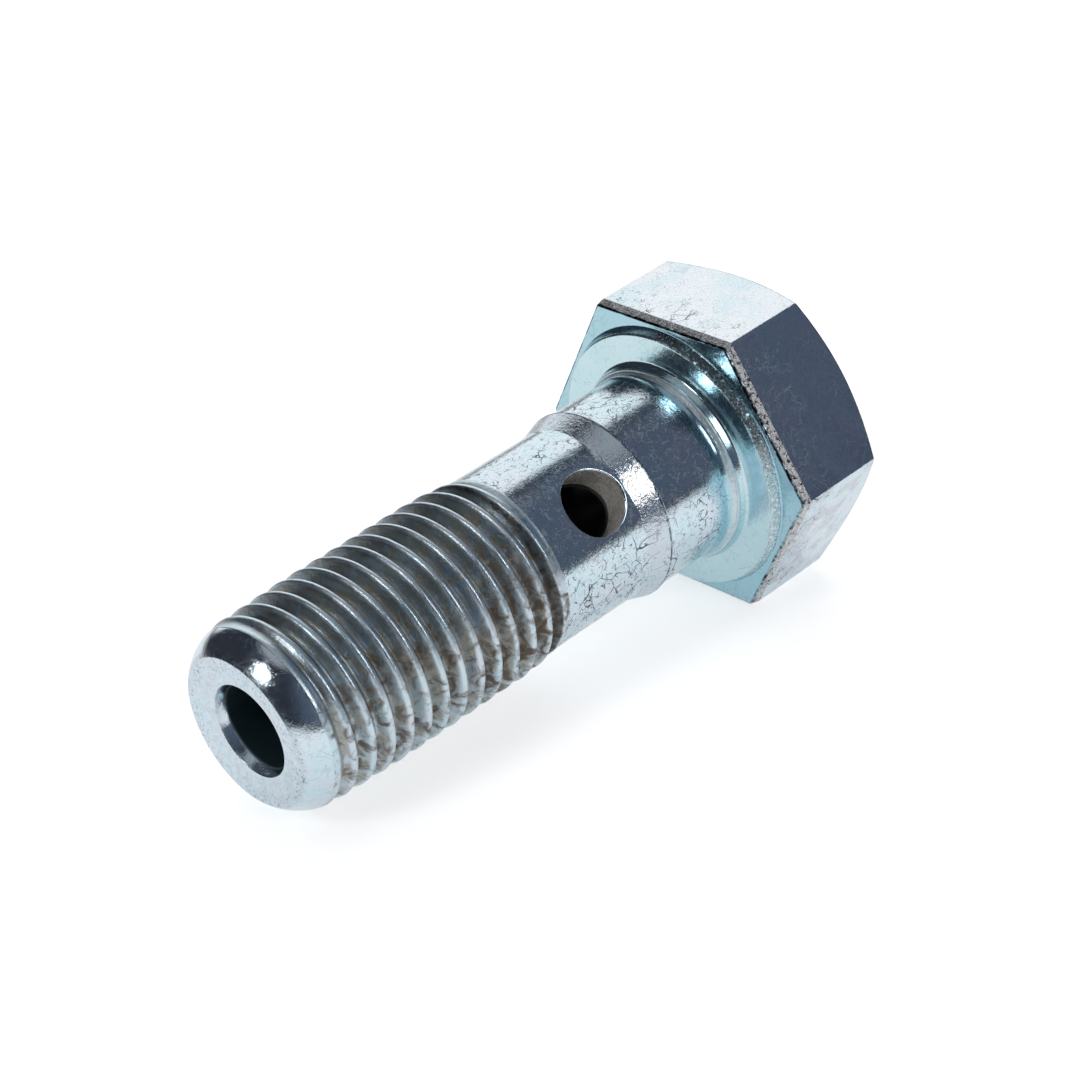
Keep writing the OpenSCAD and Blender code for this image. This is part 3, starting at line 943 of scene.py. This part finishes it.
def zinc():
    """Blue zinc plate, all in the upright bolt's millimetres.

    It is bright and finely crazed, teal in the hollows under the head and painted deeper teal there as
    shade, worn white on the die's lower edge and the shoulder, where the shoulder's patch is also a painted
    highlight, dull and stained in the thread, whose flanks are painted darker as shade, and painted black
    inside as shade. The uppermost flat is painted brighter as a reflection, the head greyer downward as
    shade, and the seam and the line under the ridge dark as shadow.
    """
    material = bpy.data.materials.new(SLOT)
    material.use_nodes = True
    g = Graph(material.node_tree)
    shader = g.nodes["Principled BSDF"]
    at = spot_on_bolt(g)
    noise = plate_noise(g, at.place)
    find_shaft_places(g, at, noise)
    find_head_places(g, at, noise)
    find_cracks(g, at, noise)
    find_stains(g, at, noise)
    color = g.mix(g.ramp(noise.drift, 0.38, 0.62), ZINC_LILAC, ZINC_CYAN)
    for cover, coat in plate_coats(g, at, noise) + worn_coats(g, at, noise):
        color = g.mix(cover, color, coat)
    metallic, rough, relief = plate_surface(g, at, noise)
    g.put(color, shader.inputs["Base Color"])
    g.put(metallic, shader.inputs["Metallic"])
    g.put(rough, shader.inputs["Roughness"])
    g.put(g.bump(relief, MM), shader.inputs["Normal"])
    return material


def make_floor():
    """The pale floor: white to the camera and in reflections where it is lit, and darker in shadow."""
    mesh = bpy.data.meshes.new("floor")
    corners = ((-1, -1), (1, -1), (1, 1), (-1, 1))
    mesh.from_pydata([(x * FLOOR_SIZE, y * FLOOR_SIZE, 0.0) for x, y in corners], [], [(0, 1, 2, 3)])
    floor = bpy.data.objects.new("floor", mesh)
    bpy.context.scene.collection.objects.link(floor)
    material = bpy.data.materials.new("floor")
    material.use_nodes = True
    g = Graph(material.node_tree)
    shader = g.nodes["Principled BSDF"]
    ray = g.add("LightPath")
    mirrored = ray.outputs["Is Glossy Ray"]
    distance = g.vector("LENGTH", g.add("TexCoord").outputs["Object"])
    near = g.ramp(distance, TABLE_FROM, TABLE_TO, 1.0, 0.0)
    color = g.mix(g.product(mirrored, g.rest(near)), FLOOR_COLOR, FLOOR_FAR_COLOR)
    lift = g.total(g.product(ray.outputs["Is Camera Ray"], FLOOR_LIFT),
                   g.product(mirrored, near, FLOOR_MIRROR_LIFT))
    g.put(1.0, shader.inputs["Roughness"])
    g.put(0.0, shader.inputs["Specular IOR Level"])
    g.put((1.0, 1.0, 1.0), shader.inputs["Emission Color"])
    g.put(color, shader.inputs["Base Color"])
    g.put(lift, shader.inputs["Emission Strength"])
    mesh.materials.append(material)


def toward(azimuth, elevation):
    """The direction at an azimuth, from +Y towards +X, and an elevation, in degrees."""
    azimuth, elevation = math.radians(azimuth), math.radians(elevation)
    level = math.cos(elevation)
    return Vector((math.sin(azimuth) * level, math.cos(azimuth) * level, math.sin(elevation)))


def make_world():
    """A dim room with a white backdrop beyond the bolt and a soft panel overhead, white to the camera."""
    world = bpy.data.worlds.new("studio")
    world.use_nodes = True
    g = Graph(world.node_tree)
    direction = g.add("TexCoord").outputs["Generated"]
    ahead = g.vector("DOT_PRODUCT", direction, toward(BACKDROP_AZIMUTH, 0.0))
    aside = g.vector("DOT_PRODUCT", direction, toward(BACKDROP_AZIMUTH + 90.0, 0.0))
    upward = g.vector("DOT_PRODUCT", direction, (0.0, 0.0, 1.0))
    bright_side = g.vector("DOT_PRODUCT", direction, toward(ROOM_AZIMUTH, 0.0))
    distance = g.math("MAXIMUM", ahead, 0.001)
    off = []
    for way, reach in ((aside, BACKDROP_SIDE), (upward, BACKDROP_TOP)):
        share = g.math("DIVIDE", way, g.product(distance, math.tan(math.radians(reach))))
        off.append(g.math("POWER", g.math("ABSOLUTE", share), 2.0))
    wall = g.product(g.ramp(g.total(*off), *BACKDROP_EDGE, 1.0, 0.0), g.ramp(ahead, 0.0, 0.01))
    panel_edge = [math.sin(math.radians(PANEL_FROM + soft)) for soft in (-PANEL_SOFT, PANEL_SOFT)]
    panel = g.ramp(upward, *panel_edge)
    color = g.mix(g.ramp(bright_side, *ROOM_EDGE), ROOM_DARK_COLOR, ROOM_COLOR)
    color = g.mix(panel, color, PANEL_COLOR)
    color = g.mix(wall, color, BACKDROP_COLOR)
    color = g.mix(g.add("LightPath").outputs["Is Camera Ray"], color, (1.0, 1.0, 1.0))
    g.put(color, g.nodes["Background"].inputs["Color"])
    bpy.context.scene.world = world


def make_lamps():
    """The soft lamps, facing the bolt. The camera doesn't see them."""
    for name, azimuth, elevation, width, height, power, mirrored in LAMPS:
        data = bpy.data.lights.new(name, "AREA")
        data.shape, data.size, data.size_y, data.energy = "RECTANGLE", width, height, power
        lamp = bpy.data.objects.new(name, data)
        back = toward(azimuth, elevation)
        facing = back.to_track_quat("Z", "Y").to_matrix().to_4x4()
        lamp.matrix_world = Matrix.Translation(back * LAMP_DISTANCE) @ facing
        lamp.visible_camera, lamp.visible_glossy = False, mirrored
        bpy.context.scene.collection.objects.link(lamp)


def make_camera():
    """The camera at the photograph's place."""
    view = toward(CAMERA_AZIMUTH, -CAMERA_ELEVATION)
    roll = math.radians(CAMERA_ROLL)
    right = view.cross(Vector((0.0, 0.0, 1.0))).normalized()
    up = right.cross(view)
    right, up = right * math.cos(roll) + up * math.sin(roll), up * math.cos(roll) - right * math.sin(roll)
    data = bpy.data.cameras.new("camera")
    data.lens, data.sensor_width, data.sensor_fit = CAMERA_LENS, CAMERA_SENSOR, "HORIZONTAL"
    data.clip_start, data.clip_end = CAMERA_CLIP
    camera = bpy.data.objects.new("camera", data)
    place = (Vector(CAMERA_AIM) - view * CAMERA_DISTANCE) * MM
    camera.matrix_world = Matrix.Translation(place) @ Matrix((right, up, -view)).transposed().to_4x4()
    bpy.context.scene.collection.objects.link(camera)
    bpy.context.scene.camera = camera


piece = bpy.data.objects.new("zinc_plated_bolt", bolt_mesh())
bpy.context.scene.collection.objects.link(piece)
piece.data.materials.append(zinc())
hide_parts(NODE)
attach(piece, BODY)
make_floor()
make_world()
make_lamps()
make_camera()
bpy.context.scene.view_settings.view_transform = "Standard"
